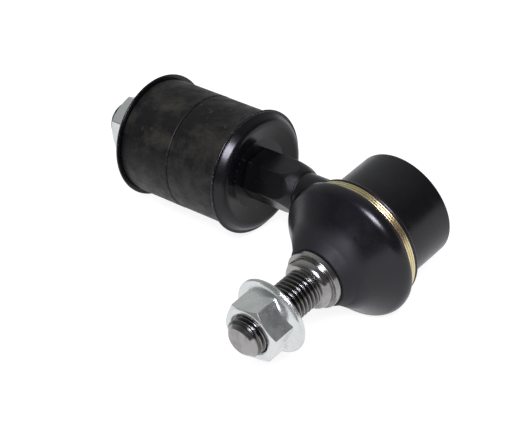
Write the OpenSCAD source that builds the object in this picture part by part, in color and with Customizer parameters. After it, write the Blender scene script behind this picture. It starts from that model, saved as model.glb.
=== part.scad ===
// Stabilizer link: a ball joint at one end, a pair of rubber bushes on a threaded stem at the other.
// The seat ring on the stud's collar is the origin. The stud points along -Y, the stem along -X, Z is up.

/* [Link body] */
// Distance from the stud's seat face to the stem's axis
seat_to_stem = 26.4; // [24:0.1:36]
// Outside diameter of the ball housing
housing_d = 28.4; // [27:0.1:34]
// Height of the housing from the stem's axis to the closing rim
rim_rise = 8.65; // [8:0.05:14]
// Depth of the housing from the stem's axis to its open mouth
mouth_drop = 11.2; // [10.8:0.1:12.5]
// Diameter of the waist between the housing and the hexagon
waist_d = 10; // [9:0.1:11.4]
// Distance from the housing's axis to the place where the hexagon is full
hex_start = 31; // [29:0.1:34]
// Size of the wrench hexagon across its flats
hex_af = 12; // [11.4:0.1:15]
// Distance from the housing's axis to the shoulder that carries the inner washer
shoulder_at = 39.9; // [37:0.1:60]
// Diameter of the stem's thread
stem_d = 10; // [8:0.1:10.4]
// Stem end beyond the lock nut
stem_past_nut = 3; // [1:0.1:6]

/* [Ball joint] */
// Diameter of the ball
ball_d = 16; // [14:0.1:16.4]
// Distance of the ball's centre from the stem's axis, towards the mouth
ball_offset = 1.5; // [1:0.1:2]
// Height of the flat on the ball above its centre
ball_flat = 5.5; // [4.5:0.1:6]
// Wall of the resin seat at the ball's widest place
seat_wall = 2.5; // [2:0.1:3]
// Thickness of the closing plate
plate_t = 1.6; // [1.2:0.1:1.9]
// Ledge that carries the closing plate
plate_ledge = 1.0; // [0.7:0.1:1.4]
// Thickness of the rolled rim over the closing plate
rim_t = 0.8; // [0.6:0.05:1.2]

/* [Ball stud] */
// Diameter of the stud's thread
thread_d = 10; // [8:0.1:11]
// Length of the stud from its seat face to the tip
stud_reach = 25.7; // [24:0.1:40]
// Diameter of the neck below the ball
neck_d = 9; // [8:0.1:9.4]
// Diameter of the collar
collar_d = 15.2; // [14.6:0.1:18]
// Thickness of the collar
collar_t = 1.65; // [1.2:0.05:2.5]
// Diameter of the pilot shoulder in front of the collar
pilot_d = 13.2; // [12:0.1:13.8]
// Straight length of the pilot shoulder
pilot_l = 1.3; // [1:0.1:2]
// Diameter of the stem that the boot's mouth turns on
boot_seat_d = 12.5; // [11.6:0.1:12.8]

/* [Dust boot] */
// Largest diameter of the boot
boot_d = 36.5; // [35.6:0.1:40]
// Thickness of the boot's wall
boot_wall = 1.8; // [1.4:0.1:2.2]
// Diameter of the boot's mouth lip
mouth_d = 16.6; // [16:0.1:18]
// Diameter of the wire of the clip
clip_wire_d = 0.68; // [0.56:0.02:0.7]
// Turns of wire in the clip
clip_turns = 3; // [2:1:3]
// Wall of the boot under the clip
bead_wall = 2.4; // [2:0.1:2.8]
// Width of the boot's edge beside the clip
bead_edge = 1.05; // [0.9:0.05:1.3]
// Free width between the clip and the boot's bulge
clip_gap = 1.1; // [0.8:0.1:1.4]
// Width of the housing's lip in front of the bead
lip_w = 1.0; // [0.8:0.1:1.4]
// Radius of the boot's bulge
bulge_r = 3; // [2.8:0.1:3.3]
// Height of the steel ring in the boot's mouth
mouth_ring_h = 2.6; // [2.2:0.1:2.8]
// Wall of the steel ring in the boot's mouth
mouth_ring_wall = 0.65; // [0.5:0.05:0.75]

/* [Flange nuts] */
// Size of both nuts across their flats
nut_af = 14; // [13:0.1:16]
// Diameter of the nuts' flanges
flange_d = 20; // [18.6:0.1:22]
// Thickness of the flange at its edge
flange_t = 1; // [0.6:0.1:1.5]
// Height of the stud's nut
stud_nut_h = 8.5; // [7.5:0.1:11]
// Height of the lock nut
lock_nut_h = 10.2; // [9:0.1:13]
// Distance from the seat face to the stud's nut as it is stored
nut_stored_at = 14.1; // [13.5:0.1:14.2]

/* [Bushes and washers] */
// Diameter of the cup washers
washer_d = 32.8; // [32:0.1:38]
// Thickness of the cup washers
washer_t = 1.8; // [1.5:0.1:2.2]
// Height of the washers' raised ring above their rim
washer_rise = 2.7; // [2.2:0.1:3.2]
// Depth of the dished middle below the raised ring
washer_dish = 1.1; // [0.5:0.1:1.2]
// Thickness of the washers' rim
rim_lip = 0.8; // [0.6:0.05:1]
// Diameter of the rubber bushes
bush_d = 30.7; // [29:0.1:31.4]
// Length of each bush between the washer's rim and the seam
bush_l = 16.5; // [13:0.1:22]
// Wall of the distance sleeve
sleeve_wall = 1.5; // [1:0.1:2]

/* [Clearances] */
// Radial clearance of turning and sliding fits
play = 0.05; // [0.03:0.01:0.08]
// Gap between parts that are clamped or bonded together
seat_gap = 0.05; // [0.03:0.01:0.1]

/* [Hidden] */
$fn = 96;
eps = 0.01;

// Radii
housing_r = housing_d / 2;
ball_r = ball_d / 2;
thread_r = thread_d / 2;
stem_r = stem_d / 2;
waist_r = waist_d / 2;
neck_r = neck_d / 2;
pilot_r = pilot_d / 2;
collar_r = collar_d / 2;
boot_seat_r = boot_seat_d / 2;
hex_r = hex_af / sqrt(3);

// Stations along the stud's axis, counted from the stem's axis towards the stud's tip
collar_back = seat_to_stem - collar_t;
tip_at = seat_to_stem + stud_reach;
clip_room = clip_turns * clip_wire_d + 0.2;
groove_end = mouth_drop - lip_w;
groove_start = groove_end - clip_room - bead_edge;
groove_r = housing_r - 0.8;
lip_r = housing_r - 0.2;
plate_in = -rim_rise + rim_t + plate_t + seat_gap;
seat_r = ball_r + play + seat_wall;
seat_front = ball_offset + 0.506 * ball_r;
throat_r = ball_r - 0.2;
throat_end = seat_front + 1.45;
mouth_r = throat_r + 1.6;

// Stations along the stem's axis, counted from the stud's axis towards the lock nut
middle_t = washer_rise - washer_dish;
inner_rim = shoulder_at + middle_t;
seam_at = inner_rim + bush_l;
outer_rim = seam_at + bush_l;
nut_seat = outer_rim + middle_t;
stem_end = nut_seat + lock_nut_h + stem_past_nut;
sleeve_r = stem_r + play + sleeve_wall;

// Radii of the washers' dished middle and raised ring
washer_r = washer_d / 2;
dish_r = flange_d / 2 + 0.1;
ring_in = dish_r + 1.6;
ring_out = washer_r - 2.7;
ring_low = washer_rise - washer_t;

// Turns the Z axis to the stud's axis, with zero on the stem's axis
module along_stud() {
    translate([0, seat_to_stem, 0])
        rotate([90, 0, 0])
            children();
}

// Turns the Z axis to the stem's axis, with zero on the stud's axis
module along_stem() {
    translate([0, seat_to_stem, 0])
        rotate([0, -90, 0])
            children();
}

// Solid of revolution from points of radius and station
module revolve(points) {
    rotate_extrude()
        polygon(points);
}

// Points of an arc about a centre
function arc(centre, r, from, to, steps = 8) =
    [for (i = [0:steps]) let (a = from + (to - from) * i / steps) centre + r * [cos(a), sin(a)]];

// Points of an oval arc about a centre, with its two half axes
function oval(centre, half, from, to, steps = 8) =
    [for (i = [0:steps]) let (a = from + (to - from) * i / steps) centre + [half[0] * cos(a), half[1] * sin(a)]];

// Points of a soft slope between two points, level at both ends
function slope(from, to, steps = 8) =
    [for (i = [1:steps]) let (u = i / steps, v = (1 - cos(180 * u)) / 2)
        [from[0] + (to[0] - from[0]) * u, from[1] + (to[1] - from[1]) * v]];

// Hexagonal prism with a corner turned to an angle
module hex_prism(af, h, turn = 0) {
    rotate(turn)
        cylinder(h = h, r = af / sqrt(3), $fn = 6);
}

// Forged body: housing, waist, wrench hexagon and threaded stem in one piece
module link_body() {
    color("#26272a")
        difference() {
            union() {
                along_stud() housing_shell();
                along_stem() stem_blank();
            }
            along_stud() housing_cavity();
            along_stud() boot_groove();
        }
}

// Outer form of the ball housing
module housing_shell() {
    edge = 0.65;
    revolve(concat(
        [[0, -rim_rise]],
        arc([housing_r - edge, -rim_rise + edge], edge, -90, 0),
        [[housing_r, groove_start], [lip_r, groove_start]],
        arc([lip_r - 0.4, mouth_drop - 0.4], 0.4, 0, 90, 4),
        [[0, mouth_drop]]
    ));
}

// Turned groove that holds the boot's bead, cut through the root of the waist too
module boot_groove() {
    difference() {
        translate([0, 0, groove_start])
            cylinder(h = mouth_drop - groove_start + eps, r = housing_r + 6);
        cylinder(h = mouth_drop + 1, r = groove_r);
        translate([0, 0, groove_end])
            cylinder(h = lip_w + 1, r = lip_r);
    }
}

// Room for the seat, the ball, the closing plate and the swinging neck
module housing_cavity() {
    rim_r = seat_r + seat_gap - 0.2;
    bore_r = seat_r + seat_gap;
    recess_r = bore_r + plate_ledge;
    revolve([
        [0, -rim_rise - eps], [rim_r, -rim_rise - eps], [rim_r, -rim_rise + rim_t],
        [recess_r, -rim_rise + rim_t], [recess_r, plate_in], [bore_r, plate_in],
        [bore_r, seat_front + seat_gap], [throat_r, seat_front + seat_gap], [throat_r, throat_end],
        [mouth_r, mouth_drop + eps], [0, mouth_drop + eps]
    ]);
}

// Root fillet, waist, hexagon and threaded stem about one axis
module stem_blank() {
    root = 5;
    root_turn = 235;
    root_end = housing_r + 1.8;
    end_round = 13.8;
    end_turn = 28;
    end_foot = hex_start - end_round * sin(end_turn);
    step = 0.4;
    chamfer = 0.8;
    revolve(concat(
        [[0, root_end + root * sin(root_turn)]],
        arc([waist_r + root, root_end], root, root_turn, 180, 8),
        [[waist_r, hex_start], [0, hex_start]]
    ));
    intersection() {
        translate([0, 0, end_foot - step])
            hex_prism(hex_af, shoulder_at - end_foot + step, 30);
        revolve(concat(
            [[0, end_foot - step], [waist_r - 0.05, end_foot - step]],
            arc([hex_r + 0.05 - end_round, hex_start], end_round, -end_turn, 0, 6),
            [[hex_r + 0.05, shoulder_at - 0.4], [hex_r - 0.5, shoulder_at], [0, shoulder_at]]
        ));
    }
    revolve([
        [0, hex_start], [stem_r, hex_start], [stem_r, stem_end - chamfer],
        [stem_r - chamfer, stem_end], [0, stem_end]
    ]);
}

// Pressed plate that closes the housing behind the ball
module end_plate() {
    plate_r = seat_r + plate_ledge;
    dish_r = plate_r - 4.4;
    dish = 0.35 * plate_t;
    top = plate_in - plate_t;
    color("#2b2c2f")
        along_stud()
            revolve([
                [0, plate_in], [plate_r, plate_in], [plate_r, top + 0.3], [plate_r - 0.3, top],
                [dish_r + dish, top], [dish_r, top + dish], [0, top + dish]
            ]);
}

// Resin seat, slit at its mouth so that it snaps over the ball
module ball_seat() {
    slit_w = 0.8;
    back = plate_in + seat_gap;
    color("#d9d4c4")
        along_stud()
            difference() {
                translate([0, 0, back])
                    cylinder(h = seat_front - back, r = seat_r);
                translate([0, 0, ball_offset])
                    sphere(r = ball_r + play);
                translate([0, 0, back - eps])
                    cylinder(h = ball_r, r = 0.46 * ball_r);
                for (i = [0:3])
                    rotate(45 + 90 * i)
                        translate([ball_r / 2, -slit_w / 2, ball_offset])
                            cube([ball_r, slit_w, ball_r]);
            }
}

// Ball stud: flatted ball, neck, boot seat, collar, pilot shoulder and threaded end
module ball_stud() {
    flat_a = asin(ball_flat / ball_r);
    neck_a = acos(neck_r / ball_r);
    lead = 1.5;
    round = 1.5;
    color("#8d8b86")
        along_stud()
            union() {
                intersection() {
                    translate([0, 0, ball_offset])
                        sphere(r = ball_r);
                    translate([0, 0, ball_offset - ball_flat])
                        cylinder(h = ball_flat + ball_r, r = ball_r + 1);
                }
                revolve(concat(
                    [[0, ball_offset], [neck_r, ball_offset], [neck_r, mouth_drop + 1.3]],
                    [[boot_seat_r, mouth_drop + 6.3], [boot_seat_r, collar_back]],
                    arc([collar_r - 0.25, collar_back + 0.25], 0.25, -90, 0, 3),
                    arc([collar_r - 0.25, seat_to_stem - 0.25], 0.25, 0, 90, 3),
                    [[pilot_r, seat_to_stem]],
                    arc([pilot_r - round, seat_to_stem + pilot_l], round, 0, 75, 6),
                    [[thread_r, seat_to_stem + pilot_l + round], [thread_r, tip_at - lead]],
                    [[thread_r - lead, tip_at], [0, tip_at]]
                ));
            }
}

// Rubber boot: bead in the housing's groove, bulge, cone and mouth
module dust_boot() {
    bead_in = groove_r + play;
    bead_out = bead_in + bead_wall;
    start = groove_start + seat_gap;
    clip_start = start + bead_edge;
    bulge_start = clip_start + clip_room + clip_gap;
    bulge_edge = 0.35;
    bulge = [boot_d / 2 - bulge_r, bulge_start + 0.37 * bulge_r];
    back = bulge + (bulge_r - bulge_edge) * [cos(16), -sin(16)];
    front = 48;
    shoulder = bulge + bulge_r * [cos(front), sin(front)];
    inside = bulge + (bulge_r - boot_wall) * [cos(front), sin(front)];
    mouth_r = mouth_d / 2;
    mouth_in = boot_seat_r + mouth_ring_wall + 2 * play;
    mouth_end = collar_back - 2 * seat_gap;
    neck = [mouth_r - 0.25, mouth_end - mouth_ring_h + 1];
    cone = [0.79 * (neck[0] - shoulder[0]), 0.8 * (neck[1] - shoulder[1])];
    color("#202124")
        along_stud()
            revolve(concat(
                [[bead_in, start]],
                arc([bead_out + 0.1, start + bead_edge / 2], bead_edge / 2, -90, 70, 6),
                [[bead_out, clip_start], [bead_out, bulge_start]],
                arc([back[0], bulge_start + bulge_edge], bulge_edge, -90, -25, 4),
                arc(bulge, bulge_r, -14, front, 12),
                [shoulder + cone, neck + [0.7, -0.65], neck, neck + [0, 0.2]],
                [[mouth_r, neck[1] + 0.5], [mouth_r, mouth_end - 0.35], [mouth_r - 0.3, mouth_end]],
                [[mouth_in, mouth_end], [mouth_in, neck[1] - 1.2]],
                [inside + cone],
                arc(bulge, bulge_r - boot_wall, front, 20, 5),
                [[lip_r + 0.3, mouth_drop + 0.1], [lip_r + 0.3, groove_end - seat_gap]],
                [[bead_in, groove_end - seat_gap]]
            ));
}

// Wire clip: turns of round wire laid side by side over the boot's bead
module boot_clip_ring() {
    pitch = clip_wire_d - 0.02;
    wire_r = clip_wire_d / 2;
    centre_r = groove_r + play + bead_wall + wire_r;
    first = groove_start + seat_gap + bead_edge + 0.05 + wire_r;
    color("#c9a24a")
        along_stud()
            rotate_extrude()
                for (i = [0:clip_turns - 1])
                    translate([centre_r, first + i * pitch])
                        circle(r = wire_r, $fn = 32);
}

// Steel ring in the boot's mouth, turning on the stud
module boot_mouth_ring() {
    inner = boot_seat_r + play;
    outer = inner + mouth_ring_wall;
    top = collar_back - 2 * seat_gap - 0.1;
    color("#77787a")
        along_stud()
            translate([0, 0, top - mouth_ring_h])
                difference() {
                    cylinder(h = mouth_ring_h, r = outer);
                    translate([0, 0, -eps])
                        cylinder(h = mouth_ring_h + 2 * eps, r = inner);
                }
}

// Hexagon nut with a flange that sweeps up into it, seated at zero
module nut_body(h, bore_r, turn) {
    corner_r = nut_af / sqrt(3);
    flange_r = flange_d / 2;
    flank_r = flange_r - 0.15;
    flank_rise = 3;
    crown = 0.75;
    sink = 0.6;
    difference() {
        union() {
            revolve(concat(
                [[0, 0], [flange_r - 0.35, 0], [flange_r, 0.35], [flange_r, flange_t - 0.15]],
                oval([flank_r, flange_t + flank_rise], [flank_r - nut_af / 2 + 0.1, flank_rise], 270, 180, 6),
                [[0, flange_t + flank_rise]]
            ));
            intersection() {
                hex_prism(nut_af, h, turn);
                revolve([
                    [0, 0], [corner_r + 0.1, 0], [corner_r + 0.1, h - crown],
                    [nut_af / 2 - 0.2, h], [0, h]
                ]);
            }
        }
        translate([0, 0, -eps])
            cylinder(h = h + 2 * eps, r = bore_r);
        translate([0, 0, -eps])
            cylinder(h = sink, r1 = bore_r + sink, r2 = bore_r);
        translate([0, 0, h - sink + eps])
            cylinder(h = sink, r1 = bore_r, r2 = bore_r + sink);
    }
}

// Nut that clamps the stud
module flange_nut() {
    color("#c3c7cc")
        along_stud()
            translate([0, 0, seat_to_stem + nut_stored_at])
                nut_body(stud_nut_h, thread_r + play, 5);
}

// Self-locking nut that clamps the bushes
module lock_nut() {
    color("#c6c9cc")
        along_stem()
            translate([0, 0, nut_seat])
                nut_body(lock_nut_h, stem_r + play, 5);
}

// Cup washer: rim at zero, raised ring and dished middle above it
module cup_washer() {
    hole_r = stem_r + play;
    foot_r = washer_r - rim_lip;
    crest_r = (foot_r + dish_r) / 2;
    revolve(concat(
        [[washer_r - 1.1, 0], [washer_r, 0], [washer_r, rim_lip]],
        oval([crest_r, rim_lip], [foot_r - crest_r, washer_rise - rim_lip], 0, 90, 10),
        slope([crest_r, washer_rise], [dish_r, middle_t]),
        [[hole_r, middle_t]],
        [[hole_r, middle_t - washer_t], [dish_r + 0.4, middle_t - washer_t]],
        [[ring_in + 0.4, ring_low], [ring_out - 0.3, ring_low]]
    ));
}

// Cup washer that sits on the hexagon's shoulder
module inner_washer() {
    color("#17181a")
        along_stem()
            translate([0, 0, inner_rim])
                mirror([0, 0, 1])
                    cup_washer();
}

// Cup washer under the lock nut
module outer_washer() {
    color("#1b1c1d")
        along_stem()
            translate([0, 0, outer_rim])
                cup_washer();
}

// Rubber bush: rim end at zero, seam end at its length
module bush() {
    bush_r = bush_d / 2;
    low = ring_low - seat_gap;
    bore_r = sleeve_r + seat_gap;
    edge = 0.5;
    revolve(concat(
        [[bore_r, washer_t - middle_t + seat_gap], [dish_r + 0.4, washer_t - middle_t + seat_gap]],
        [[ring_in + 0.4, -low], [ring_out - 0.4, -low], [washer_r - 1.3, seat_gap]],
        [[bush_r - 0.2, 0.3], [bush_r, 0.9]],
        arc([bush_r - edge, bush_l - edge - seat_gap / 2], edge, 0, 90, 5),
        [[bore_r, bush_l - seat_gap / 2]]
    ));
}

// Bush against the inner washer
module inner_bush() {
    color("#3d3d3c")
        along_stem()
            translate([0, 0, inner_rim])
                bush();
}

// Bush against the outer washer
module outer_bush() {
    color("#3f3f3e")
        along_stem()
            translate([0, 0, outer_rim])
                mirror([0, 0, 1])
                    bush();
}

// Steel sleeve that sets the distance between the washers
module distance_sleeve() {
    start = inner_rim + washer_t - middle_t;
    long = outer_rim - inner_rim - 2 * (washer_t - middle_t);
    color("#8a8a88")
        along_stem()
            translate([0, 0, start])
                difference() {
                    cylinder(h = long, r = sleeve_r);
                    translate([0, 0, -eps])
                        cylinder(h = long + 2 * eps, r = stem_r + play);
                }
}

link_body();
end_plate();
ball_seat();
ball_stud();
dust_boot();
boot_clip_ring();
boot_mouth_ring();
flange_nut();
inner_washer();
inner_bush();
distance_sleeve();
outer_bush();
outer_washer();
lock_nut();
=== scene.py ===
# %% [markdown]
# # A stabilizer link, dressed for a picture
# A stabilizer link ties a car's sway bar to its suspension. One end is a ball joint under a rubber boot,
# and the other end is a threaded stem that clamps a bracket between two rubber bushes. The CAD model
# already holds the sizes and the joints, so this lesson gives each piece its real surface: threads,
# rolled edges, paint, plating and dust. Everything stays in the CAD model's own frame, in metres, so each
# piece can ride the body that carries it.

# %% Load the CAD frame
import math

import bpy
import numpy as np
from mathutils import Matrix, Vector


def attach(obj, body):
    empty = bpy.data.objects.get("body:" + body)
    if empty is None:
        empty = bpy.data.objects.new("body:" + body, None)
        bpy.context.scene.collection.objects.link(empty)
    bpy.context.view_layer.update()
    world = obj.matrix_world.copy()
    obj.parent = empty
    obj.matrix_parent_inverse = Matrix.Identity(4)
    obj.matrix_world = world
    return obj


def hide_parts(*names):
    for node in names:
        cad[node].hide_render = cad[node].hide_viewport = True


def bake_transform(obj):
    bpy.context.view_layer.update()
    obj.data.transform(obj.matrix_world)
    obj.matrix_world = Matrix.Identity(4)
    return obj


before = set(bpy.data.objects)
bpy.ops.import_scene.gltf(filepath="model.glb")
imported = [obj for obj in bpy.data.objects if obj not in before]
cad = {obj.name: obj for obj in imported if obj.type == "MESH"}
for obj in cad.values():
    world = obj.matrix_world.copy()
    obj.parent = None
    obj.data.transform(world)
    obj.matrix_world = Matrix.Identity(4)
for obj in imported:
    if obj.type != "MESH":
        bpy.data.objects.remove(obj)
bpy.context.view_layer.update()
print("CAD nodes:", ", ".join(sorted(cad)))

# %% [markdown]
# ## Two axes
# Nearly every piece is turned about one of two axes: the stud's or the stem's. So each shape is first made
# about its own Z axis, with its length counted in millimetres from the point where the two axes cross, and
# a matrix then lays it on the stud or on the stem. A modeller could also draw each piece in place, but
# then every profile would need its own turned coordinates.

# %% Axes of the stud and the stem
MM = 0.001
STEM_Y = 26.4 * MM
STUD_AXES = Matrix(((1, 0, 0, 0), (0, 0, -1, STEM_Y), (0, 1, 0, 0), (0, 0, 0, 1)))
STEM_AXES = Matrix(((0, 0, -1, 0), (0, 1, 0, STEM_Y), (1, 0, 0, 0), (0, 0, 0, 1)))
print("The axes cross at y =", STEM_Y)

# %% [markdown]
# ## Camera
# The photograph was matched by fitting the circles of the housing, the collar, the nut and the washers.
# That gave the direction, a small roll and the distance of the camera. A long lens keeps the perspective
# as flat as it is there.

# %% Camera
AZIMUTH_DEG, ELEVATION_DEG, ROLL_DEG = 47.34, 36.16, 10.19
EYE_RIGHT, EYE_UP, EYE_BACK = -0.02838, 0.001574, 0.48287
FOCAL_PX, PHOTO_WIDTH_PX = 2000, 529
SENSOR_MM = 36

azimuth, elevation, roll = (math.radians(a) for a in (AZIMUTH_DEG, ELEVATION_DEG, ROLL_DEG))
level_part = math.cos(elevation)
back = Vector((math.sin(azimuth) * level_part, -math.cos(azimuth) * level_part, math.sin(elevation)))
level = Vector((math.cos(azimuth), math.sin(azimuth), 0))
rise = back.cross(level)
cam_right = math.cos(roll) * level - math.sin(roll) * rise
cam_up = math.sin(roll) * level + math.cos(roll) * rise
eye = Vector((0, STEM_Y, 0)) + EYE_RIGHT * cam_right + EYE_UP * cam_up + EYE_BACK * back
camera_data = bpy.data.cameras.new("camera")
camera_data.sensor_fit = "HORIZONTAL"
camera_data.sensor_width = SENSOR_MM
camera_data.lens = FOCAL_PX / PHOTO_WIDTH_PX * SENSOR_MM
camera_data.clip_start = 0.01
camera = bpy.data.objects.new("camera", camera_data)
turn = Matrix((cam_right, cam_up, back)).transposed().to_4x4()
camera.matrix_world = Matrix.Translation(eye) @ turn
bpy.context.scene.collection.objects.link(camera)
bpy.context.scene.camera = camera
print("Camera at", [round(x, 3) for x in eye])

# %% [markdown]
# ## Floor and light
# The link lies on a white lit table in a dim room. The table draws the pale edges along the outlines of
# the black pieces and lights the lower faces of the nuts. It reflects dimmer than it looks, as if the white
# round the link had been brightened after the shot: the black edges stay darker than a white table would
# leave them. One soft lamp just above the camera gives the boot, the washer, the clip and the stud's
# shoulder their highlights. Apart from it, the tops reflect only a dim wall behind, on the left: it is a
# soft lobe in the sky whose strength falls with the angle from one direction, so it needs no object.

# %% Floor
FLOOR_Z = -18.3 * MM
FLOOR_REACH = 3.0
FLOOR_GLOW = 0.88
GLOW_SEEN, GLOW_REFLECTED = (1, 1, 1, 1), (0.6, 0.6, 0.6, 1)

floor_mesh = bpy.data.meshes.new("floor")
floor_ways = ((-1, -1), (1, -1), (1, 1), (-1, 1))
floor_corners = [(x * FLOOR_REACH, y * FLOOR_REACH, FLOOR_Z) for x, y in floor_ways]
floor_mesh.from_pydata(floor_corners, [], [(0, 1, 2, 3)])
floor = bpy.data.objects.new("floor", floor_mesh)
bpy.context.scene.collection.objects.link(floor)
floor_paint = bpy.data.materials.new("floor_paint")
floor_paint.use_nodes = True
floor_tree = floor_paint.node_tree
floor_shader = floor_tree.nodes["Principled BSDF"]
floor_shader.inputs["Base Color"].default_value = (0.35, 0.35, 0.35, 1)
floor_shader.inputs["Roughness"].default_value = 0.9
floor_shader.inputs["Specular IOR Level"].default_value = 0.0
floor_shader.inputs["Emission Strength"].default_value = FLOOR_GLOW
floor_look = floor_tree.nodes.new("ShaderNodeMix")
floor_look.data_type = "RGBA"
floor_look.inputs["A"].default_value = GLOW_REFLECTED
floor_look.inputs["B"].default_value = GLOW_SEEN
seen_straight = floor_tree.nodes.new("ShaderNodeLightPath").outputs["Is Camera Ray"]
floor_tree.links.new(seen_straight, floor_look.inputs["Factor"])
floor_tree.links.new(floor_look.outputs["Result"], floor_shader.inputs["Emission Color"])
floor_mesh.materials.append(floor_paint)
print("Floor at z =", FLOOR_Z)

# %% Sky with a dim wall
WALL_WAY = Vector((-0.75, 0.6, 0.3)).normalized()
WALL_LOBE = {"From Min": -0.2, "From Max": 1.1, "To Min": 0.08, "To Max": 0.44}

world = bpy.data.worlds.new("studio")
bpy.context.scene.world = world
world.use_nodes = True
sky = world.node_tree
near_wall = sky.nodes.new("ShaderNodeVectorMath")
near_wall.operation = "DOT_PRODUCT"
near_wall.inputs[1].default_value = WALL_WAY
sky.links.new(sky.nodes.new("ShaderNodeTexCoord").outputs["Generated"], near_wall.inputs[0])
lobe = sky.nodes.new("ShaderNodeMapRange")
lobe.interpolation_type = "SMOOTHSTEP"
for label, value in WALL_LOBE.items():
    lobe.inputs[label].default_value = value
sky.links.new(near_wall.outputs["Value"], lobe.inputs["Value"])
background = sky.nodes["Background"]
background.inputs["Color"].default_value = (0.96, 0.98, 1.0, 1)
sky.links.new(lobe.outputs["Result"], background.inputs["Strength"])
bpy.context.scene.view_settings.view_transform = "Standard"
print("Sky is brightest towards", [round(x, 2) for x in WALL_WAY])

# %% Lamp
LINK_MIDDLE = Vector((-0.035, 0.012, 0.0))
LAMP_DISTANCE, LAMP_WIDTH, LAMP_HEIGHT = 0.9, 0.42, 0.3
LAMP_RIGHT, LAMP_UP, LAMP_BACK = -0.02, 0.24, 0.97
LAMP_WATTS, LAMP_COLOUR = 9.5, (0.87, 0.85, 1.0)

lamp_way = (LAMP_RIGHT * cam_right + LAMP_UP * cam_up + LAMP_BACK * back).normalized()
lamp_data = bpy.data.lights.new("key_lamp", "AREA")
lamp_data.shape = "RECTANGLE"
lamp_data.size, lamp_data.size_y = LAMP_WIDTH, LAMP_HEIGHT
lamp_data.energy = LAMP_WATTS
lamp_data.color = LAMP_COLOUR
key_lamp = bpy.data.objects.new("key_lamp", lamp_data)
key_lamp.rotation_mode = "QUATERNION"
key_lamp.location = LINK_MIDDLE + lamp_way * LAMP_DISTANCE
key_lamp.rotation_quaternion = (-lamp_way).to_track_quat("-Z", "Y")
bpy.context.scene.collection.objects.link(key_lamp)
print(key_lamp.name, "at", [round(x, 2) for x in key_lamp.location])

# %% [markdown]
# ## Shared surface effects
# Each effect is a shader group with its own named inputs. Grain, which gives an uneven gloss and a fine
# relief, and dust, which lays a thin film in patches, come back in several finishes. Rings are the fine
# marks of a turning tool and serve the steel alone.

# %% Helpers for shader groups
def new_group(name, inputs, outputs):
    """An empty shader group with named sockets, each given as (name, kind, value)."""
    group = bpy.data.node_groups.new(name, "ShaderNodeTree")
    for label, kind, value in inputs:
        socket = group.interface.new_socket(label, in_out="INPUT", socket_type="NodeSocket" + kind)
        if value is not None:
            socket.default_value = value
    for label, kind in outputs:
        group.interface.new_socket(label, in_out="OUTPUT", socket_type="NodeSocket" + kind)
    start = group.nodes.new("NodeGroupInput")
    end = group.nodes.new("NodeGroupOutput")
    return group, start.outputs, end.inputs


def gloss_group(name, scale, smooth, rough):
    """An empty shader group for an uneven roughness, from smooth to rough, and a height."""
    numbers = [("Scale", "Float", scale), ("Smooth", "Float", smooth), ("Rough", "Float", rough)]
    outputs = [("Roughness", "Float"), ("Height", "Float")]
    return new_group(name, [("Vector", "Vector", None)] + numbers, outputs)


def add(tree, kind, **settings):
    """A new node. A setting whose name starts with in_ fills the input of that name or number."""
    node = tree.nodes.new(kind)
    for key, value in settings.items():
        if key.startswith("in_"):
            label = key[3:]
            node.inputs[int(label) if label.isdigit() else label].default_value = value
        else:
            setattr(node, key, value)
    return node


def scale_range(tree, value, low, high, to_low, to_high):
    """Maps a value from one range to another, with both ends held."""
    node = add(tree, "ShaderNodeMapRange", clamp=True)
    tree.links.new(value, node.inputs["Value"])
    for label, x in (("From Min", low), ("From Max", high), ("To Min", to_low), ("To Max", to_high)):
        if isinstance(x, (int, float)):
            node.inputs[label].default_value = x
        else:
            tree.links.new(x, node.inputs[label])
    return node.outputs["Result"]


# %% Grain
grain, given, put = gloss_group("grain", 400.0, 0.3, 0.5)
coarse = add(grain, "ShaderNodeTexNoise", in_Detail=4.0, in_Roughness=0.6)
fine = add(grain, "ShaderNodeTexNoise", in_Detail=2.0, in_Roughness=0.5)
finer = add(grain, "ShaderNodeMath", operation="MULTIPLY", in_1=6.0)
grain.links.new(given["Vector"], coarse.inputs["Vector"])
grain.links.new(given["Vector"], fine.inputs["Vector"])
grain.links.new(given["Scale"], coarse.inputs["Scale"])
grain.links.new(given["Scale"], finer.inputs[0])
grain.links.new(finer.outputs[0], fine.inputs["Scale"])
uneven = scale_range(grain, coarse.outputs["Fac"], 0.3, 0.7, given["Smooth"], given["Rough"])
grain.links.new(uneven, put["Roughness"])
both = add(grain, "ShaderNodeMath", operation="MULTIPLY_ADD", in_1=0.35)
grain.links.new(fine.outputs["Fac"], both.inputs[0])
grain.links.new(coarse.outputs["Fac"], both.inputs[2])
grain.links.new(both.outputs[0], put["Height"])
print("Grain has", len(grain.nodes), "nodes")

# %% Dust
dust, given, put = new_group(
    "dust",
    [
        ("Vector", "Vector", None),
        ("Scale", "Float", 90.0),
        ("Bare", "Color", (0.02, 0.02, 0.02, 1)),
        ("Film", "Color", (0.1, 0.1, 0.09, 1)),
        ("Amount", "Float", 0.5),
    ],
    [("Color", "Color"), ("Mask", "Float")],
)
cloud = add(dust, "ShaderNodeTexNoise", in_Detail=6.0, in_Roughness=0.68, in_Distortion=0.4)
speck = add(dust, "ShaderNodeTexNoise", in_Detail=3.0, in_Roughness=0.6)
closer = add(dust, "ShaderNodeMath", operation="MULTIPLY", in_1=9.0)
for node in (cloud, speck):
    dust.links.new(given["Vector"], node.inputs["Vector"])
dust.links.new(given["Scale"], cloud.inputs["Scale"])
dust.links.new(given["Scale"], closer.inputs[0])
dust.links.new(closer.outputs[0], speck.inputs["Scale"])
patches = scale_range(dust, cloud.outputs["Fac"], 0.47, 0.76, 0.0, 1.0)
spots = scale_range(dust, speck.outputs["Fac"], 0.62, 0.74, 0.0, 0.7)
most = add(dust, "ShaderNodeMath", operation="MAXIMUM")
held = add(dust, "ShaderNodeMath", operation="MULTIPLY")
dust.links.new(patches, most.inputs[0])
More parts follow.
